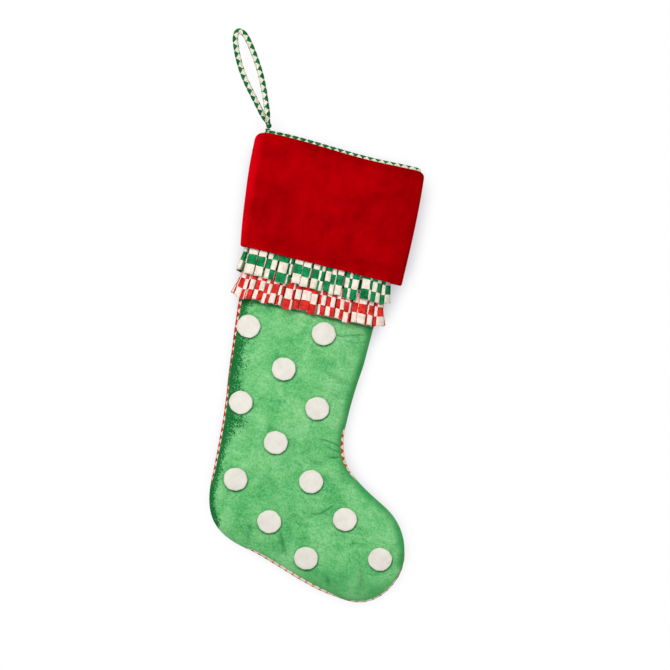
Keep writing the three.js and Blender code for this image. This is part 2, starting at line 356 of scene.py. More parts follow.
class Surface:
    """A procedural material. Its methods add nodes and return their outputs."""

    def __init__(self, name, slot=None):
        self.slot = slot or name
        self.material = bpy.data.materials.new(name)
        self.material.use_nodes = True
        self.tree = self.material.node_tree
        self.shader = self.tree.nodes["Principled BSDF"]
        self.set("Specular IOR Level", 0.2)

    def plug(self, socket, value):
        """Feeds an input from another node's output, or gives it a fixed value."""
        if isinstance(value, bpy.types.NodeSocket):
            self.tree.links.new(value, socket)
        else:
            socket.default_value = value

    def set(self, name, value):
        self.plug(self.shader.inputs[name], value)

    def finished(self, colour, roughness, normal):
        self.set("Base Color", colour)
        self.set("Roughness", roughness)
        self.set("Normal", normal)
        return Cloth(self.material, self.slot)

    def node(self, kind, inputs=(), out=0, **settings):
        """Adds a node and returns one of its outputs."""
        node = self.tree.nodes.new(f"ShaderNode{kind}")
        for key, value in settings.items():
            setattr(node, key, value)
        for key, value in dict(inputs).items():
            self.plug(node.inputs[key], value)
        return node.outputs[out]

    def math(self, operation, a, b=0.0):
        return self.node("Math", {0: a, 1: b}, operation=operation)

    def vector_math(self, operation, a, b=(0.0, 0.0, 0.0), scale=1.0):
        return self.node("VectorMath", {0: a, 1: b, 3: scale}, operation=operation)

    def scaled(self, value, share):
        return self.math("MULTIPLY", value, share)

    def spread(self, value, amount):
        """Noise moved to lie about zero, and spread out by amount."""
        return self.scaled(self.math("SUBTRACT", value, 0.5), amount)

    def total(self, first, *others):
        """The sum of values, each given with its share."""
        result = self.scaled(*first)
        for other in others:
            result = self.math("ADD", result, self.scaled(*other))
        return result

    def uv(self):
        return self.node("UVMap", uv_map="cloth")

    def place(self):
        """Place in the row frame, in millimetres, turned so that z runs up the stocking."""
        metres = self.node("TexCoord", out="Object")
        tilt = math.asin(UPRIGHT.axes[0][2])
        inputs = {"Vector": metres, "Rotation": (0, tilt, 0), "Scale": (1000, 1000, 1000)}
        return self.node("Mapping", inputs)

    def stretch(self, vector, x=1.0, z=1.0):
        return self.node("Mapping", {"Vector": vector, "Scale": (x, 1.0, z)})

    def noise(self, vector, size, detail=3.0, distortion=0.0, rough=0.55):
        inputs = {"Vector": vector, "Scale": 1 / size, "Detail": detail,
                  "Distortion": distortion, "Roughness": rough}
        return self.node("TexNoise", inputs, "Fac")

    def ramp(self, factor, *stops):
        colour_out = self.node("ValToRGB", {"Fac": factor})
        elements = colour_out.node.color_ramp.elements
        while len(elements) < len(stops):
            elements.new(0.5)
        for element, (position, colour) in zip(elements, stops):
            element.position = position
            element.color = rgba(colour)
        return colour_out

    def range(self, value, low, high, to_low=0.0, to_high=1.0):
        inputs = {"Value": value, "From Min": low, "From Max": high,
                  "To Min": to_low, "To Max": to_high}
        return self.node("MapRange", inputs)

    def uneven(self, fibres, thin, dense):
        """A roughness for where the fibres are thin and one for where they are dense."""
        return self.range(fibres, 0.3, 0.7, thin, dense)

    def blend(self, factor, a, b, mode="MIX"):
        a, b = (rgba(colour) if isinstance(colour, tuple) else colour for colour in (a, b))
        return self.node("Mix", {0: factor, 6: a, 7: b}, 2, data_type="RGBA", blend_type=mode)

    def attribute(self, name):
        return self.node("Attribute", out="Fac", attribute_name=name)

    def bump(self, height, distance, strength=0.6, before=None):
        inputs = {"Height": height, "Distance": distance * 0.001, "Strength": strength}
        if before:
            inputs["Normal"] = before
        return self.node("Bump", inputs)


def rgba(colour):
    """An sRGB colour of three values from 0 to 255, as the linear colour that shaders use."""
    channels = [c / 255 for c in colour]
    return [c / 12.92 if c <= 0.04045 else ((c + 0.055) / 1.055) ** 2.4 for c in channels] + [1.0]


def velvet(s, colour, strokes, sheen, tint, relief):
    """Finishes a plush: no shine but a sheen of its own tint, and a short pile in brushed strokes."""
    s.set("Specular IOR Level", 0.0)
    s.set("Sheen Weight", sheen)
    s.set("Sheen Roughness", 0.5)
    s.set("Sheen Tint", rgba(tint))
    pile = s.bump(s.noise(s.place(), 0.7, 3), 0.25, 0.5)
    return s.finished(colour, s.uneven(strokes, 1.0, 0.8), s.bump(strokes, *relief, pile))


def green_velvet():
    """Plush whose nap is brushed in patches and lies dark along the heel side, with shade painted at
    its seams, in its creases and round its dots.
    """
    s = Surface("green_velvet")
    place = s.place()
    clouds = s.noise(s.stretch(place, z=0.7), 30, 3, 0.5)
    strokes = s.noise(s.stretch(place, 0.55), 9, 6, 0.8, 0.62)
    grain = s.noise(place, 2.3, 3, 0.0, 0.7)
    tone = s.total((clouds, 0.34), (strokes, 0.26), (grain, 0.40))
    colour = s.ramp(tone, (0.34, (50, 142, 80)), (0.46, (94, 179, 107)),
                    (0.54, (121, 195, 127)), (0.66, (154, 214, 153)))
    # a few scuffs where the pile is pushed the other way
    scuffs = s.noise(s.stretch(place, 0.5, 1.2), 5, 8, 1.0, 0.75)
    patches = s.range(s.noise(place, 55, 2), 0.48, 0.62)
    scuffed = s.math("MULTIPLY", s.range(scuffs, 0.55, 0.68), patches)
    colour = s.blend(s.scaled(scuffed, 0.35), colour, (24, 118, 66))
    # painted shade where the velvet rolls away at the seams and under the toe
    seam_shade = s.math("ADD", s.attribute("painted_edge_shade"), s.math("SUBTRACT", grain, 0.55))
    colour = s.blend(s.range(seam_shade, 0.1, 1.0, 0.0, 0.72), colour, (30, 134, 68))
    # the dark band, ragged across the leg where the pile was brushed
    rag = s.noise(s.stretch(place, 0.6), 4.5, 6, 0.6, 0.8)
    fleck = s.noise(place, 1.7, 2)
    band = s.math("ADD", s.attribute("dark_nap"), s.spread(rag, 2.3))
    band = s.math("ADD", band, s.spread(fleck, 1.9))
    band = s.range(band, 0.36, 0.80)
    colour = s.blend(s.scaled(band, 0.92), colour, (4, 98, 44))
    # and painted shade in the creases, round the dots and just below the red ruffle's hem
    painted_shade_amount = s.math("MULTIPLY", s.attribute("crease_and_painted_shade"), s.range(fleck, 0.3, 0.6, 0.5, 1.0))
    colour = s.blend(s.scaled(painted_shade_amount, 0.80), colour, (8, 96, 48))
    return velvet(s, colour, strokes, 0.15, (150, 230, 150), (0.8, 0.25))


def red_velvet():
    """Plush with a painted highlight where it turns at the cuff's heel side and hem."""
    s = Surface("red_velvet")
    place = s.place()
    strokes = s.noise(s.stretch(place, z=0.4), 12, 5, 0.5)
    clouds = s.noise(place, 48, 2, 0.4)
    fibres = s.noise(s.stretch(place, 0.5, 0.8), 3.2, 5, 0.8, 0.7)
    tone = s.total((strokes, 0.3), (clouds, 0.45), (fibres, 0.25))
    colour = s.ramp(tone, (0.36, (138, 0, 3)), (0.50, (164, 0, 5)), (0.62, (178, 0, 7)))
    # painted highlight where the cuff rolls over, with a ragged edge
    ragged = s.math("ADD", s.attribute("painted_roll_highlight"), s.spread(strokes, 0.8))
    colour = s.blend(s.range(ragged, 0.2, 1.0), colour, (210, 2, 18))
    # painted shade in the creases, under the rim piping and above the hem
    colour = s.blend(s.scaled(s.attribute("crease_and_painted_shade"), 0.6), colour, (118, 0, 3))
    speckle = s.noise(place, 2.0, 2)
    colour = s.blend(s.range(speckle, 0.35, 0.75, 0.0, 0.22), colour, (128, 0, 2))
    return velvet(s, colour, strokes, 0.12, (255, 6, 30), (1.0, 0.3))


def check_cloth(name, slot, colour, dark, pale, shaded):
    """Plain-woven cotton in a two-colour check. One unit of uv is one check."""
    s = Surface(name, slot)
    uv = s.uv()
    drift = s.node("TexNoise", {"Vector": uv, "Scale": 2.3, "Detail": 1.0}, "Color")
    drift = s.vector_math("SUBTRACT", drift, (0.5, 0.5, 0.5))
    drift = s.vector_math("SCALE", drift, scale=0.15)
    at = s.vector_math("ADD", uv, drift)
    column, row = (s.math("FLOOR", s.node("SeparateXYZ", {0: at}, axis)) for axis in "XY")
    odd = s.math("FLOORED_MODULO", s.math("ADD", column, row), 2.0)
    tint = s.noise(s.place(), 5, 3)
    dyed = s.blend(s.range(tint, 0.38, 0.70), colour, dark)
    cream = s.ramp(tint, (0.3, shaded), (0.62, pale))
    plain = s.blend(odd, cream, dyed)
    weave = s.node("TexChecker", {"Vector": uv, "Scale": 24.0}, "Fac")
    woven = s.blend(s.scaled(weave, 0.07), plain, (40, 40, 30))
    # painted shade in the gathers' valleys
    valley_shade = s.blend(s.attribute("painted_fold_shade"), (255, 255, 255), (178, 166, 160))
    fibres = s.bump(weave, 0.12, 0.5)
    return s.finished(
        s.blend(1.0, woven, valley_shade, "MULTIPLY"),
        s.uneven(tint, 0.82, 0.95),
        s.bump(tint, 0.5, 0.3, fibres),
    )


def cream_felt():
    s = Surface("cream_felt")
    place = s.place()
    fibres = s.noise(place, 1.4, 6, 1.5, 0.7)
    clouds = s.noise(place, 9, 2)
    tone = s.total((fibres, 0.5), (clouds, 0.5))
    colour = s.ramp(tone, (0.32, (216, 211, 200)), (0.62, (231, 228, 218)))
    colour = s.blend(s.scaled(s.attribute("edge"), 0.3), colour, (190, 184, 160))
    s.set("Specular IOR Level", 0.0)
    return s.finished(colour, s.uneven(fibres, 0.9, 1.0), s.bump(fibres, 0.35, 0.5))


def red_lining():
    """A smooth twill-woven lining."""
    s = Surface("red_lining")
    place = s.place()
    waves = {"Vector": place, "Scale": 0.9, "Distortion": 0.3}
    twill = s.node("TexWave", waves, "Fac", bands_direction="DIAGONAL")
    clouds = s.noise(place, 20, 3)
    colour = s.ramp(clouds, (0.3, (138, 6, 18)), (0.7, (176, 18, 30)))
    colour = s.blend(s.scaled(twill, 0.12), colour, (90, 0, 8))
    return s.finished(colour, s.uneven(clouds, 0.55, 0.72), s.bump(twill, 0.1, 0.4))


def batting():
    s = Surface("batting")
    fluff = s.noise(s.place(), 3.5, 8, 2.0, 0.7)
    colour = s.ramp(fluff, (0.3, (214, 212, 204)), (0.7, (248, 247, 243)))
    return s.finished(colour, s.uneven(fluff, 0.9, 1.0), s.bump(fluff, 1.2, 0.7))


def cotton_cord():
    """A twisted filler cord."""
    s = Surface("cotton_cord")
    along = s.node("SeparateXYZ", {0: s.uv()}, "X")
    strands = s.math("SINE", s.scaled(along, 14.0))
    fibres = s.noise(s.place(), 0.8, 4)
    colour = s.ramp(fibres, (0.3, (214, 200, 176)), (0.7, (244, 236, 220)))
    return s.finished(colour, s.uneven(fibres, 0.85, 0.97), s.bump(strands, 0.3, 0.6))


def green_thread():
    s = Surface("green_thread")
    fibres = s.noise(s.place(), 0.6, 4)
    colour = s.ramp(fibres, (0.3, (2, 74, 42)), (0.7, (16, 120, 70)))
    return s.finished(colour, s.uneven(fibres, 0.6, 0.8), s.bump(fibres, 0.2, 0.5))


GREEN_VELVET = green_velvet()
RED_VELVET = red_velvet()
# each check's dyed colour and its darkest, then its cream and that in shade
GREEN_CHECK, RED_CHECK, GREEN_BIAS, RED_BIAS = (check_cloth(*cloth) for cloth in (
    ("green_check", "green_check", (6, 146, 84), (0, 88, 46), (250, 240, 226), (226, 210, 194)),
    ("red_check", "red_check", (236, 50, 42), (176, 18, 14), (252, 236, 224), (230, 206, 192)),
    ("green_bias", "green_check", (0, 114, 60), (0, 78, 40), (238, 235, 214), (210, 208, 178)),
    ("red_bias", "red_check", (214, 44, 38), (150, 22, 20), (240, 226, 204), (214, 196, 168)),
))
CREAM_FELT = cream_felt()
RED_LINING = red_lining()
BATTING = batting()
COTTON_CORD = cotton_cord()
GREEN_THREAD = green_thread()


# ---- the leg's outline, from the rim to the tip of the toe
SEAM_STEPS = 420
HEEL_PATH = evenly(bezier_path(
    (-9, -5),
    [(-9, -45), (5.2, -75), (5.2, -115)],
    [(5.2, -190)],
    [(5.2, -230), (10.6, -280), (13.6, -320)],
    [(15.4, -345), (15.6, -375), (15.6, -405)],
    [(15.6, -457), (35, -472), (80, -481.5)],
    [(114, -490.5), (160, -515.3), (205, -515.3)],
    [(233, -515.3), (254.2, -487), (254.2, -459.4)],
), SEAM_STEPS)
TOE_PATH = evenly(bezier_path(
    (182.5, -12),
    [(182.5, -60), (171.6, -80), (169.8, -115)],
    [(162.8, -245)],
    [(160.2, -262), (156.9, -290), (156.9, -315)],
    [(156.6, -332), (159.2, -344), (164, -355)],
    [(174.4, -373.4), (196.6, -385.4), (219.6, -398.8)],
    [(243, -412.4), (254.2, -435), (254.2, -459.4)],
), SEAM_STEPS)


def drawn_in(path, inset, hand):
    """A path moved inwards by inset; hand is 1 for the heel side's and -1 for the toe side's."""
    along = directions(path)
    inward = stacked(-along[:, 1], along[:, 0]) * hand
    return path + inward * np.asarray(inset)[..., None]


def exposure(*stops):
    """How much of the piping shows beside the leg, from 0 to 1. A stop is a fraction of the seam
    and how much shows there."""
    at, shown = zip(*stops)
    return np.interp(np.linspace(0, 1, SEAM_STEPS), at, shown)


HEEL_SHOWN = exposure(
    (0, 0.9), (0.26, 0.9), (0.30, 0.5), (0.34, 0.35), (0.365, 0.1), (0.40, 0.1), (0.43, 0.4),
    (0.53, 0.4), (0.575, 0.1), (0.69, 0.1), (0.73, 0.7), (0.83, 0.75), (0.87, 0.15), (0.91, 0.55),
    (0.96, 0.5), (1.0, 0.1),
)
TOE_SHOWN = exposure((0, 0), (0.62, 0), (0.66, 0.7), (0.70, 0.7), (0.76, 0.12), (1.0, 0.1))
# how far inside the outline each lies, where the piping is hidden and where it shows
PANEL_INSET = (0.3, 2.2)
PIPING_INSET = (4.4, 3.2)


def seams(inset):
    """The heel side's and the toe side's path for the velvet's edge, or for the piping."""
    sides = ((HEEL_PATH, HEEL_SHOWN, 1), (TOE_PATH, TOE_SHOWN, -1))
    return [drawn_in(path, mix(*inset, shown), hand) for path, shown, hand in sides]


def distance_to(points, path):
    """How far each point is from a polyline."""
    nearest = np.full(len(points), np.inf)
    for a, b in zip(path[:-1], path[1:]):
        ab = b - a
        t = np.clip(((points - a) @ ab) / (ab @ ab), 0, 1)
        nearest = np.minimum(nearest, np.linalg.norm(points - a - t[:, None] * ab, axis=1))
    return nearest


# ---- the padded leg
def leg_grid():
    """Rows across the leg from seam to seam, as x and z, and how far each point is from a seam."""
    rows = np.linspace(0, 0.9995, LEG_ROWS)  # the last row stays just short of the toe's tip
    heel, toe = (resample(path, rows) for path in seams(PANEL_INSET))
    across = np.linspace(0, 1, LEG_COLUMNS)
    across = mix(across, 0.5 - 0.5 * np.cos(math.pi * across), 0.45)  # finer near the seams
    flat = mix(heel[:, None], toe[:, None], across[None, :, None])
    edges = [evenly(path, 200) for path in (heel, toe)]
    seam = np.minimum(*[distance_to(flat.reshape(-1, 2), path) for path in edges])
    return flat, seam.reshape(flat.shape[:2])


def leg_panels():
    """The grids of the leg's front and back, rounded over at the seams and swelled by pressure."""
    flat, seam = leg_grid()
    rise = np.sqrt(1 - (1 - np.clip(seam / EDGE_ROLL, 0, 1)) ** 2) * LEG_PUFF
    front = stacked(flat[..., 0], -rise, flat[..., 1])
    back = front * (1, -1, 1)
    ring = swell(np.concatenate([front, back[:, -2:0:-1]], axis=1))
    front = ring[:, :LEG_COLUMNS]
    back = np.concatenate([ring[:, :1], ring[:, : LEG_COLUMNS - 2 : -1]], axis=1)
    return front, back


def swell(ring):
    """The leg as rings of points, puffed out by a cloth simulation that is pinned at its seams."""
    piece = grid_piece("leg_simulation", ring, no_uv(ring), wrap=True, flip=True)
    pinned = np.zeros(ring.shape[:2], bool)
    pinned[:, [0, LEG_COLUMNS - 1]] = True
    pinned[:2] = True
    pinned[-2:] = True
    piece.vertex_groups.new(name="pinned").add(np.flatnonzero(pinned).tolist(), 1.0, "REPLACE")
    cloth = piece.modifiers.new("cloth", "CLOTH")
    for name, value in SWELL_SETTINGS.items():
        setattr(cloth.settings, name, value)
    cloth.settings.effector_weights.gravity = 0
    scene = bpy.context.scene
    for step in range(1, SWELL_FRAMES + 1):
        scene.frame_set(step)
    apply_modifiers(piece)
    moved = upright_points(piece) - ring.reshape(-1, 3)
    bpy.data.objects.remove(piece)
    scene.frame_set(1)
    reach = np.linalg.norm(moved, axis=1, keepdims=True)
    moved *= np.minimum(1, SWELL_LIMIT / np.maximum(reach, 1e-6))
    return ring + moved.reshape(ring.shape)


# Soft creases in the velvet, each a line of x and z with its half-width and depth.
LEG_CREASES = [
    ([(118, -214), (130, -216), (144, -212), (160, -208)], 1.1, 0.8),
    ([(132, -219), (146, -220), (162, -216)], 1.0, 0.5),
    ([(118, -257), (134, -264), (154, -268)], 1.9, 0.32),
    ([(130, -283), (160, -288)], 1.8, 0.3),
    ([(130, -337), (143, -338), (158, -342)], 0.9, 1.2),
    ([(136, -344), (147, -346), (159, -350)], 0.8, 0.8),
    ([(140, -356), (151, -355), (160, -352)], 0.9, 1.1),
    ([(118, -361), (128, -364), (138, -363)], 1.1, 0.5),
    ([(134, -424), (146, -422), (156, -414), (163, -405)], 0.9, 0.9),
    ([(124, -430), (134, -434)], 1.0, 0.5),
    ([(107, -451), (113, -465), (119, -478)], 2.2, 0.8),
    ([(70, -446), (72, -462), (70, -474)], 3.4, 0.5),
    ([(167, -486), (172, -496), (176, -507)], 2.6, 0.6),
    ([(206, -470), (210, -486), (208, -500)], 3.6, 0.5),
]
BACK_CREASES = LEG_CREASES[2:4] + LEG_CREASES[10:13]

# How far the dark nap reaches from the heel-side seam, as z and reach.
NAP_REACH = [
    (-480, 6), (-440, 9), (-400, 11), (-356, 14), (-343, 20), (-335, 27), (-326, 22), (-314, 17),
    (-268, 20), (-238, 19), (-215, 16), (-200, 15),
]
NAP_END = 0.63  # the fraction of the heel-side seam where the dark nap ends


def crease_and_painted_shade(points, creases, outward):
    """Presses creases into upright-frame points, and returns how deep each point lies in one, as the
    amount of shade to paint there.
    """
    depth = np.zeros(len(points))
    shade = np.zeros(len(points))
    flat = points[:, [0, 2]]
    ragged = 1 + 0.35 * wobble(points, 7, 3)
    for line, width, deep in creases:
        path = smooth_curve(line, 24)
        to_ends = [np.linalg.norm(flat - end, axis=1) for end in (path[0], path[-1])]
        fade = np.clip(np.minimum(*to_ends) / 7, 0.25, 1)
        dent = np.exp(-((distance_to(flat, path) / (width * ragged)) ** 2)) * fade
        depth += dent * deep
        shade = np.maximum(shade, dent * min(1.0, deep))
    points[:, 1] -= outward * depth
    return shade


def add_attribute(piece, name, values):
    attribute = piece.data.attributes.new(name, "FLOAT", "POINT")
    attribute.data.foreach_set("value", np.asarray(values, np.float32))


def dot_shadows(points):
    """Where the velvet's pile is pressed down and shaded round each dot, most on the side away from
    the light."""
    from_light = (0.55, -0.83)
    shade = np.zeros(len(points))
    for low, high in (UPRIGHT.box(name) for name in DOT_NAMES):
        away = points[:, [0, 2]] - ((low + high) / 2)[[0, 2]]
        distance = np.linalg.norm(away, axis=1)
        lee = (away @ from_light) / np.maximum(distance, 1e-6)
        ring = np.exp(-(((distance - DOT_RADIUS - 0.3) / 1.5) ** 2))
        shade = np.maximum(shade, ring * np.clip(0.6 + 0.8 * lee, 0.2, 1.3))
    return shade


def from_seam(points, path, end=1.0, steps=160):
    """How far points in the upright frame lie from a seam, taken up to a fraction of its length."""
    return distance_to(points[:, [0, 2]], resample(path, np.linspace(0, end, steps)))


def rumple(points, hand):
    """Moves a leg panel's points gently in and out, except close to its seams."""
    inside = smoothstep(0, 22, from_seam(points, HEEL_PATH, steps=120))
    inside *= smoothstep(0, 22, from_seam(points, TOE_PATH, steps=120))
    waves = 1.1 * wobble(points, 46, 1 + hand) + 0.45 * wobble(points, 17, 4 + hand)
    points[:, 1] += hand * inside * waves


def brush(piece, points, strength):
    """Marks where a leg panel's nap lies dark along the heel side, and where shade is painted at its
    edges and under the toe.
    """
    x, z = points[:, 0], points[:, 2]
    from_heel = from_seam(points, HEEL_PATH, NAP_END)
    reach = np.interp(z, *zip(*NAP_REACH)) * (1 + 0.3 * wobble(points, 24, 6))
    band = strength * (1 - smoothstep(0.3 * reach, 1.5 * reach, from_heel))
    add_attribute(piece, "dark_nap", band)
    # painted shade near both seams and under the toe
    from_edge = np.minimum(from_seam(points, TOE_PATH), from_heel + 4)
    under_toe = 0.5 * smoothstep(-472, -498, z) * smoothstep(100, 150, x)
    add_attribute(piece, "painted_edge_shade", np.maximum(1 - smoothstep(2, 13, from_edge), under_toe))


def leg_panel(side, points, hand):
    """One velvet panel; its nap and creases are kept slighter at the back."""
    in_front = hand < 0
    piece = grid_piece(f"leg_{side}", points, flat_uv(points), flip=not in_front)
    piece.modifiers.new("finer", "SUBSURF").levels = 2 if in_front else 1
    points = upright_points(apply_modifiers(piece))
    rumple(points, hand)
    shade = crease_and_painted_shade(points, LEG_CREASES if in_front else BACK_CREASES, hand)
    if in_front:
        shade = np.maximum(shade, dot_shadows(points))
    # a painted shadow line on the velvet just below the red ruffle's hem
    below_hem = mix(RED_HEM.z_left, RED_HEM.z_right, points[:, 0] / 170) - points[:, 2]
    shade = np.maximum(shade, np.exp(-(((below_hem - 1.0) / 1.5) ** 2)))
    set_upright_points(piece, points)
    brush(piece, points, 1.0 if in_front else 0.55)
    add_attribute(piece, "crease_and_painted_shade", shade)
    return finish_piece(piece, GREEN_VELVET, f"body_{side}")


def lining_panel(side, points, hand):
    """One panel of the lining: loose inside the leg, and opened out to the piping at the mouth."""
    sheet = points[::2, ::2]
    x, y, z = (sheet[..., k] for k in range(3))
    middle = (x[:, :1] + x[:, -1:]) / 2
    half = (x[:, -1:] - x[:, :1]) / 2
    across = (x - middle) / half
    near_rim = smoothstep(-34, -8, z)
    loose = y * 0.44 + hand * 0.7 * wobble(sheet, 22, 8) * smoothstep(0, 4, np.abs(y))
    mouth = hand * MOUTH_DEPTH * np.clip(1 - across**4, 0, 1) ** 0.25
    low, high = UPRIGHT.box("rim_piping_cover")
    mouth_x = mix(low[0] + 4.5, high[0] - 6, (across + 1) / 2)
    x = mix(middle + across * half * 0.9, mouth_x, near_rim)
    y = mix(loose, mouth, near_rim)
    z = mix(z, np.maximum(z, rim_height(x) - 2.4), smoothstep(-14, -6, z))
    sheet = stacked(x, y, z)
    piece = grid_piece(f"lining_{side}_cloth", sheet, flat_uv(sheet), flip=hand > 0)
    finish_piece(thicken(piece, COTTON_THICKNESS), RED_LINING, f"lining_{side}")


def padding_panel(side, points, hand):
    """One layer of wadding between velvet and lining, closed all round."""
    outer = points[3::3, ::3].copy()
    middle = (outer[:, :1, 0] + outer[:, -1:, 0]) / 2
    outer[..., 0] = middle + (outer[..., 0] - middle) * 0.94
    outer[..., 1] = hand * np.maximum(np.abs(outer[..., 1]) - 2.6, 0.3)
    outer[..., 2] = np.minimum(outer[..., 2], rim_height(outer[..., 0]) - PADDING_DROP)
    inner = outer * (1, 0.75, 1)
    ring = np.concatenate([outer, inner[:, ::-1]], axis=1)
    piece = grid_piece(f"wadding_{side}", ring, no_uv(ring), wrap=True, flip=hand > 0)
    finish_piece(piece, BATTING, f"padding_{side}")


def rim_height(x):
    """The cuff's top edge, which dips to the toe side."""
    return -3.0 - 7.9 * smoothstep(5, 140, x)


# ---- pipings
def piping(name, path, radius, cloth, turn=0.0, twist=0.0, body="stocking"):
    """Bias cloth wrapped round a filler cord. turn is how far the cloth is turned round the cord,
    and twist how much more it turns by the end."""
    cover = tube(f"{name}_cloth", path, radius, turn=turn, twist=twist)
    points = upright_points(cover)
    centre = np.repeat(np.vstack([path[:1], path, path[-1:]]), TUBE_SIDES, axis=0)
    pinched = 1 + 0.05 * wobble(points, 5, 9)
    set_upright_points(cover, centre + (points - centre) * pinched[:, None])
    finish_piece(cover, cloth, f"{name}_cover", body)
    cord = tube(f"{name}_core", path, radius - 1.1, 8, check=4)
    finish_piece(cord, COTTON_CORD, f"{name}_cord", body)


def side_piping():
    heel, toe = seams(PIPING_INSET)
    flat = evenly(np.vstack([heel[8:], toe[-2:8:-1]]), SEAM_STEPS)
    for _ in range(3):  # soften the join at the tip of the toe
        flat[1:-1] = (flat[:-2] + 2 * flat[1:-1] + flat[2:]) / 4
    path = stacked(flat[:, 0], np.zeros(len(flat)), flat[:, 1])
    piping("side_piping", path, PIPING_RADIUS, RED_BIAS, twist=9)


def rim_path():
    """Once round the mouth, from one side of the loop's neck to the other."""
    low, high = UPRIGHT.box("rim_piping_cover")
    left = low[0] + RIM_PIPING_RADIUS
    right = high[0] - RIM_PIPING_RADIUS - 1.5
    angle = math.pi + 2 * math.pi * np.linspace(0.012, 0.988, 720)
    x = mix(left, right, (signed_root(np.cos(angle)) + 1) / 2)
    y = RIM_PIPING_DEPTH * signed_root(np.sin(angle))
    z = rim_height(x) + 0.4
    return evenly(stacked(x, y, z), 170)


def rim_piping():
    piping("rim_piping", rim_path(), RIM_PIPING_RADIUS, GREEN_BIAS, turn=5.0, twist=-7)


# ---- cuff
CUFF_CREASES = [
    ([(-2, -24), (12, -27), (26, -24)], 6.0, 0.45),
    ([(38, -60), (39, -92), (36, -120)], 9.0, 0.5),
    ([(8, -122), (50, -126), (96, -132), (150, -128), (184, -132)], 4.5, 0.6),
    ([(90, -66), (128, -58), (172, -38)], 7.0, 0.55),
    ([(148, -92), (164, -98), (184, -94)], 5.5, 0.4),
]
CUFF_ROWS, CUFF_COLUMNS = 56, 110
CUFF_HEM = (-136.8, -144.6)  # the hem's height at the heel side and at the toe side
CUFF_HEM_MEAN = -141
HEM_ROLL = 1.6  # the radius that the hem turns up on
TURN_UP = 14.0  # how far the velvet goes up inside the hem


def cuff_section(z):
    """Left, right and half-depth of the cuff at height z; its depth comes from its CAD box."""
    down = np.clip(z / CUFF_HEM_MEAN, 0, 1)
    left = -13.4 - 0.6 * np.sin(math.pi * np.clip(down * 1.8, 0, 1)) + 8.9 * down**2.4
    right = 186.2 + 2.2 * np.sin(math.pi * down**0.8) + 1.0 * down
    low, _ = UPRIGHT.box("cuff_front")
    deep = -low[1]
    return left, right, mix(deep - 4.0, deep, down)


def cuff_sheet(hand, wall, turn_up):
    """A grid over the cuff's front or back: a roll over the rim, the face, the hem and its turn-up.
    wall is how far it lies inside the cuff's face, and turn_up how far it goes up again inside."""
    angle = np.linspace(0, math.pi, CUFF_COLUMNS)
    ring_x, ring_y = -signed_root(np.cos(angle)), np.abs(signed_root(np.sin(angle)))
    share = (ring_x + 1) / 2  # of the way from the heel side to the toe side
    side = smoothstep(0.90, 1.0, np.abs(ring_x))
    roll = mix(3.6, np.where(ring_x < 0, 9.5, 6.5), side)
    rim = rim_height(mix(-10, 186, share))
    hem = mix(*CUFF_HEM, share)
    rows = []  # each a height and how far in it lies
    for phi in np.radians(np.linspace(90, 0, 8)):
        rows.append((rim - roll * (1 - math.sin(phi)), roll * (1 - math.cos(phi)) + wall))
    for t in np.linspace(0, 1, CUFF_ROWS)[1:]:
        rows.append((mix(rim - roll, hem + HEM_ROLL, t), wall))
    for phi in np.radians((35, 75, 115, 150, 180)):
        rows.append((hem + HEM_ROLL * (1 - math.sin(phi)), wall + HEM_ROLL * (1 - math.cos(phi))))
    for rise in np.linspace(0, turn_up, 5)[1:]:
        rows.append((hem + HEM_ROLL + rise, wall + 2 * HEM_ROLL))
    grid = []
    for z, inset in rows:
        left, right, deep = cuff_section(z)
        x = mix(left + inset, right - inset, share)
        grid.append(stacked(x, hand * (deep - inset) * ring_y, z))
    return np.array(grid)


def cuff_velvet(side, hand):
    grid = cuff_sheet(hand, 0.0, TURN_UP)
    piece = grid_piece(f"cuff_{side}_velvet", grid, flat_uv(grid), flip=hand < 0)
    points = upright_points(piece)
    x, y, z = points.T
    free = smoothstep(0, 14, np.abs(y))
    down = smoothstep(-6, -60, z)
    waves = 0.9 * wobble(points, 42, 11 + hand) + 0.35 * wobble(points, 15, 13 + hand)
    points[:, 1] += hand * free * (0.4 + 0.6 * down) * waves
    shade = crease_and_painted_shade(points, CUFF_CREASES if hand < 0 else CUFF_CREASES[2:4], hand * free)
    # painted shade under the rim piping and in a band above the hem, with the creases' painted shade
    below_rim = rim_height(x) - z
    under_piping = 0.8 * (1 - smoothstep(3, 13, below_rim)) * smoothstep(4, 60, x)
    near_hem = 0.42 * smoothstep(98, 122, below_rim) * smoothstep(12, 32, x)
    add_attribute(piece, "crease_and_painted_shade", np.maximum(shade, np.maximum(under_piping, near_hem)))
    # painted highlight along the heel-side roll and along the hem's roll
    left_roll = 0.95 * (1 - smoothstep(-2, 15, x + 13 + 0.055 * z))
    hem_roll = 0.45 * (1 - smoothstep(2, 7, z - mix(-137, -145, (x + 5) / 190)))
    add_attribute(piece, "painted_roll_highlight", np.maximum(left_roll, hem_roll))
    set_upright_points(piece, points)
    finish_cuff(thicken(piece, VELVET_THICKNESS), RED_VELVET, f"cuff_{side}")


def cuff_facing(side, hand):
    """The lining inside the cuff, from under its roll to its turn-up."""
    grid = cuff_sheet(hand, 2 * HEM_ROLL, 0.0)[4:-4:2, ::2]
    piece = grid_piece(f"cuff_{side}_facing", grid, flat_uv(grid), flip=hand < 0)
    finish_cuff(thicken(piece, COTTON_THICKNESS), RED_LINING, f"cuff_facing_{side}")


def finish_cuff(piece, cloth, replaces):
    """Gives a cuff piece its cloth, hides the CAD node that it stands for, and bakes its place into
    its mesh; it rides on no body.
    """
    finish_piece(piece, cloth, replaces, body=None)
    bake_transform(piece)


def cuff():
    for side, hand in SIDES:
        cuff_velvet(side, hand)
        cuff_facing(side, hand)


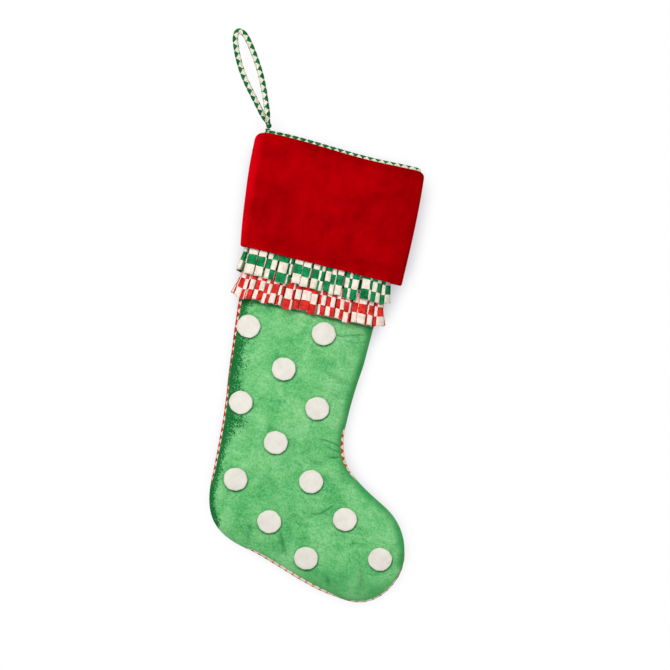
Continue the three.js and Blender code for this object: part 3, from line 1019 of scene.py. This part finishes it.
# ---- ruffles
def ring_round(left, right, deep, count):
    """Points evenly spaced round a rounded rectangle, starting at the heel-side seam."""
    angle = np.linspace(0, 2 * math.pi, 2 * count)
    x = mix(left, right, (1 - signed_root(np.cos(angle))) / 2)
    y = -deep * signed_root(np.sin(angle))
    return evenly(stacked(x, y), count)


def gathers(length):
    """Uneven gathers along a strip: for each of their points, how far along the strip it lies, how
    far out as a share of their depth, and two random numbers that its whole gather shares."""
    count = round(length / PLEAT)
    widths = RNG.uniform(0.5, 1.4, count)
    widths *= length / widths.sum()
    starts = np.cumsum(widths) - widths
    t = np.linspace(0, 1, PLEAT_STEPS, endpoint=False)
    curl = 0.17 * np.sin(4 * math.pi * t) - 0.125 * np.sin(2 * math.pi * t)
    along = starts[:, None] + widths[:, None] * (t + curl)
    height = (widths / PLEAT)[:, None] ** 0.5 * (1 - np.abs(np.cos(math.pi * t)) ** 2.4)
    shared = RNG.uniform(-1, 1, (2, count, 1)) * np.ones(PLEAT_STEPS)
    return along.ravel(), height.ravel(), shared[0].ravel(), shared[1].ravel()


def ruffle(name, head, hem, cloth, replaces, seed, phase):
    """A gathered strip round the leg, from its head to its hem. phase moves its check along it."""
    base = ring_round(hem.left, hem.right, hem.deep, 1800)
    stations = np.linspace(0, 1, len(base))
    length = distances_along(base)[-1]
    along, height, lean, drop = gathers(length)
    tangent = directions(base)
    down = np.linspace(0, 1, RUFFLE_ROWS)
    grid = []
    for t in down:
        push = PLEAT_DEPTH * mix(0.4, 1.0, t**0.8) * height
        at = (along + 0.36 * lean * push) / length % 1.0
        x, y, tx, ty = (np.interp(at, stations, a) for a in (*base.T, *tangent.T))
        share = (x - hem.left) / (hem.right - hem.left)
        x = mix(mix(head.left, head.right, share), x, t) + ty * push
        y = y * mix(head.deep, hem.deep, t) / hem.deep - tx * push
        z = mix(mix(head.z_left, head.z_right, share), mix(hem.z_left, hem.z_right, share), t)
        ear = smoothstep(0.93, 1.0, np.abs(2 * share - 1)) * t**2  # its side ends turn up and out
        z = z + 2.3 * drop * height * mix(0.4, 1, t) + 4.0 * ear
        x = x + 2.0 * ear * np.sign(share - 0.5)
        grid.append(stacked(x, y, z))
    grid = np.array(grid)
    for k in range(3):
        grid[..., k] += 0.4 * wobble(grid, 9, seed + k) * down[:, None]
    hem_line = np.vstack([grid[-3], grid[-3, :1]])
    arc = distances_along(hem_line)
    checks = round(arc[-1] / CHECK / 2) * 2  # an even number, so that the pattern meets itself
    tall = (head.z_left - hem.z_left + head.z_right - hem.z_right) / 2
    u, v = np.meshgrid(arc / arc[-1] * checks + phase, np.linspace(tall, 0, RUFFLE_ROWS) / CHECK)
    piece = grid_piece(name, grid, stacked(u, v), wrap=True)
    # how much painted shade each point of a gather takes, most in its valleys
    valleys = np.clip(1 - height * 3.6, 0, 1)
    add_attribute(piece, "painted_fold_shade", np.tile(valleys, RUFFLE_ROWS))
    finish_piece(thicken(piece, COTTON_THICKNESS, 0), cloth, replaces)


def ruffles():
    ruffle("ruffle_green", GREEN_HEAD, GREEN_HEM, GREEN_CHECK, "green_ruffle", 20, 1.0)
    ruffle("ruffle_red", RED_HEAD, RED_HEM, RED_CHECK, "red_ruffle", 30, 0.0)


# ---- dots
def dots(panel):
    """Felt discs laid on the velvet, in the places the CAD frame gives them."""
    surface = BVHTree.FromObject(panel, bpy.context.evaluated_depsgraph_get())
    for seed, name in enumerate(DOT_NAMES):
        low, high = UPRIGHT.box(name)
        dot(name, (low + high) / 2, surface, seed)


def dot(node, centre, surface, seed):
    """One disc, cut by hand and so slightly faceted."""
    turns = np.linspace(0, 2 * math.pi, DOT_SIDES, endpoint=False)
    facets = 1 + 0.012 * np.sin(9 * turns + seed) + 0.012 * np.sin(4 * turns + 2.3 * seed)
    outline = stacked(np.cos(turns), DOT_SQUAT * np.sin(turns))
    grid = []
    for share, height, _ in DOT_PROFILE:
        flat = outline * (DOT_RADIUS * share * facets)[:, None] + (centre[0], centre[2])
        grid.append([on_surface(surface, x, z, height * DOT_THICKNESS) for x, z in flat])
    grid = np.array(grid)
    uv = flat_uv(np.concatenate([grid, grid[:, :1]], axis=1))
    piece = grid_piece(f"felt_{node}", grid, uv, wrap=True, flip=True)
    add_attribute(piece, "edge", np.repeat([edge for _, _, edge in DOT_PROFILE], DOT_SIDES))
    finish_piece(piece, CREAM_FELT, node)


def on_surface(surface, x, z, height):
    """The point that far in front of the velvet at x and z."""
    start = Vector(UPRIGHT.to_row([x, -100, z]))
    hit, *_ = surface.ray_cast(start, Vector((0, 1, 0)))
    if hit is None:
        return np.array([x, -2.0 - height, z])
    return UPRIGHT.from_row(hit) + (0, -height, 0)


# ---- the loop
def loop_path():
    """A teardrop whose legs meet at the foot, leaning to the heel side: x, y and z on that lean."""
    knots = [
        (-0.5, 1.0, 1.2), (-2.9, 3.0, 16), (-5.6, 1.7, 36), (-8.4, 0, 58), (-8.8, 0, 76),
        (-7.0, 0, 94), (-3.6, 0, 109), (2.0, 0, 115.2), (7.4, 0, 110.5), (9.9, 0, 98),
        (10.8, 0, 80), (10.4, 0, 60), (7.8, -1.7, 39), (4.1, -3.0, 19), (0.5, -1.0, 1.2),
    ]
    path = smooth_curve(knots, 150)
    c, s = math.cos(LOOP_LEAN), math.sin(LOOP_LEAN)
    x, y, z = path.T
    return stacked(x * c - z * s, y, x * s + z * c) + KNOT


def loop():
    path = loop_path()
    from_end = distances_along(path)[-1] * (0.5 - np.abs(np.linspace(-0.5, 0.5, len(path))))
    radius = LOOP_RADIUS * mix(0.58, 1, smoothstep(0, 16, from_end))  # drawn tight at the knot
    piping("loop", path, radius, GREEN_BIAS, turn=4.5, body="loop")
    knot()
    neck()


def turned(name, profile, sides=20):
    """A round piece about the knot's upright axis, from a profile of radius and height."""
    angle = np.linspace(0, 2 * math.pi, sides + 1)
    ring = angle[:-1]
    radius, height = np.array(profile, float).T
    x, y = radius[:, None] * np.cos(ring), radius[:, None] * np.sin(ring)
    z = height[:, None] * np.ones(sides)
    # a row of the check's diamonds every step; these turns put a dyed one in front
    step = PIPING_CHECK / math.sqrt(2)
    u, v = np.meshgrid(height - step, angle * radius.max() + 1.43 * step, indexing="ij")
    grid = stacked(x, y, z) + KNOT
    return grid_piece(name, grid, bias_uv(u, v), wrap=True, flip=True)


def knot():
    """Thread wound round the loop's foot in a small ball."""
    turns, thread, steps = 6, 0.6, 140
    wound = KNOT_RADIUS - thread
    angle = np.linspace(0, 2 * math.pi * turns, steps)
    tilt = np.radians(np.linspace(-78, 62, steps))
    path = stacked(np.cos(tilt) * np.cos(angle), np.cos(tilt) * np.sin(angle), np.sin(tilt))
    coil = tube("knot_thread", KNOT + wound * path, thread, 6)
    finish_piece(coil, GREEN_THREAD, "loop_knot", "knot")
    tilt = np.radians(np.linspace(-89, 89, 14))
    egg = stacked(np.cos(tilt), 1.16 * np.sin(tilt))
    finish_piece(turned("knot_core", egg * wound), GREEN_THREAD, body="knot")


def neck():
    """The loop's end below the knot, hollowed at its top to let the knot turn on it."""
    low, _ = UPRIGHT.box("loop_neck")
    foot = low[2] - 2 - KNOT[2]
    profile = [(0.2, foot), (3.3, foot), (3.4, foot + 2), (3.4, -5.2), (3.1, -4.45), (2.5, -3.9),
               (1.9, -3.62), (1.0, -3.5), (0.2, -3.5)]
    finish_piece(turned("loop_foot", profile), GREEN_BIAS, "loop_neck")


# ---- the whole stocking
def stocking():
    grids = leg_panels()
    panels = [leg_panel(side, points, hand) for points, (side, hand) in zip(grids, SIDES)]
    for points, (side, hand) in zip(grids, SIDES):
        padding_panel(side, points, hand)
        lining_panel(side, points, hand)
    side_piping()
    rim_piping()
    ruffles()
    cuff()
    dots(panels[0])
    loop()


# ---- backdrop, lights and camera, in metres
BACKDROP_SIZE = 8


def plain_plane(name, y, z, tilt, material):
    place = {"location": (0, y, z), "rotation": (math.radians(tilt), 0, 0)}
    bpy.ops.mesh.primitive_plane_add(size=BACKDROP_SIZE, **place)
    plane = bpy.context.object
    plane.name = name
    plane.data.materials.append(material)


def pale_backdrop():
    """Plain and pale: it glows, with a soft shade painted on it close to the stocking. It is seen
    only from its own front and never edge-on, so that it doesn't hide or line the stocking."""
    s = Surface("backdrop")
    # the shade is painted from how much of its surroundings the stocking hides, looking a little to
    # the upper left so that it falls more to the lower right
    nearby = {"Distance": 0.034, "Normal": s.vector_math("NORMALIZE", (-0.14, -1.0, 0.12))}
    open_share = s.node("AmbientOcclusion", nearby, "AO", samples=12)
    shade = s.ramp(open_share, (0.36, (190, 189, 192)), (0.56, (220, 219, 222)),
                   (0.68, (244, 244, 246)), (0.80, (255, 255, 255)))
    glow = s.node("Emission", {"Color": shade})
    clear = s.node("BsdfTransparent")
    facing = s.math("SUBTRACT", 1.0, s.node("NewGeometry", out="Backfacing"))
    edge_on = s.node("LayerWeight", out="Facing")
    facing = s.math("MULTIPLY", facing, s.range(edge_on, 0.80, 0.95, 1.0, 0.0))
    seen = s.math("MULTIPLY", facing, s.node("LightPath", out="Is Camera Ray"))
    mixed = s.node("MixShader", {0: seen, 1: clear, 2: glow})
    s.tree.links.new(mixed, s.tree.nodes["Material Output"].inputs["Surface"])
    return s.material


def stage():
    low, high = CAD_BOX
    pale = pale_backdrop()
    wall = high.y + 0.003
    floor = low.z - 0.12
    gap = 0.08  # kept between floor and wall, so that neither shades the other
    plain_plane("wall", wall, 0, 90, pale)
    plain_plane("floor", wall - gap - BACKDROP_SIZE / 2, floor, 0, pale)


def area_light(name, offset, size, power):
    """A square light, aimed at the stocking's middle from an offset in metres."""
    low, high = CAD_BOX
    data = bpy.data.lights.new(name, "AREA")
    data.shape = "SQUARE"
    data.size = size
    data.energy = power
    lamp = new_object(name, data)
    lamp.location = (low + high) / 2 + Vector(offset)
    lamp.rotation_euler = (-Vector(offset)).to_track_quat("-Z", "Y").to_euler()


def studio_world():
    """White to the camera, and a softer white as light."""
    world = bpy.data.worlds.new("studio")
    world.use_nodes = True
    nodes, links = world.node_tree.nodes, world.node_tree.links
    background = nodes["Background"]
    background.inputs["Color"].default_value = (1, 1, 1, 1)
    strength = nodes.new("ShaderNodeMapRange")
    strength.inputs["To Min"].default_value = 0.62
    links.new(nodes.new("ShaderNodeLightPath").outputs["Is Camera Ray"], strength.inputs["Value"])
    links.new(strength.outputs["Result"], background.inputs["Strength"])
    bpy.context.scene.world = world


def lights():
    area_light("key", (-1.1, -1.8, 1.3), 0.5, 32)
    area_light("fill", (1.5, -1.9, 0.2), 1.8, 12)
    area_light("behind", (0.6, 2.0, 1.2), 1.8, 26)
    studio_world()
    bpy.context.scene.view_settings.view_transform = "Standard"


def camera():
    """Square on to the front, with the stocking a little left of the middle."""
    data = bpy.data.cameras.new("camera")
    data.lens = 110
    data.sensor_width = 36
    picture = 0.777  # metres across, at the stocking's seams
    distance = picture * data.lens / data.sensor_width
    aim = UPRIGHT.to_row([123, 0, -215.8])
    lens = new_object("camera", data)
    lens.location = aim - np.array([0, distance, 0])
    lens.rotation_euler = (math.radians(90), 0, 0)
    bpy.context.scene.camera = lens


def corners(box):
    return [list(corner) for corner in box]


stocking()
stage()
lights()
camera()
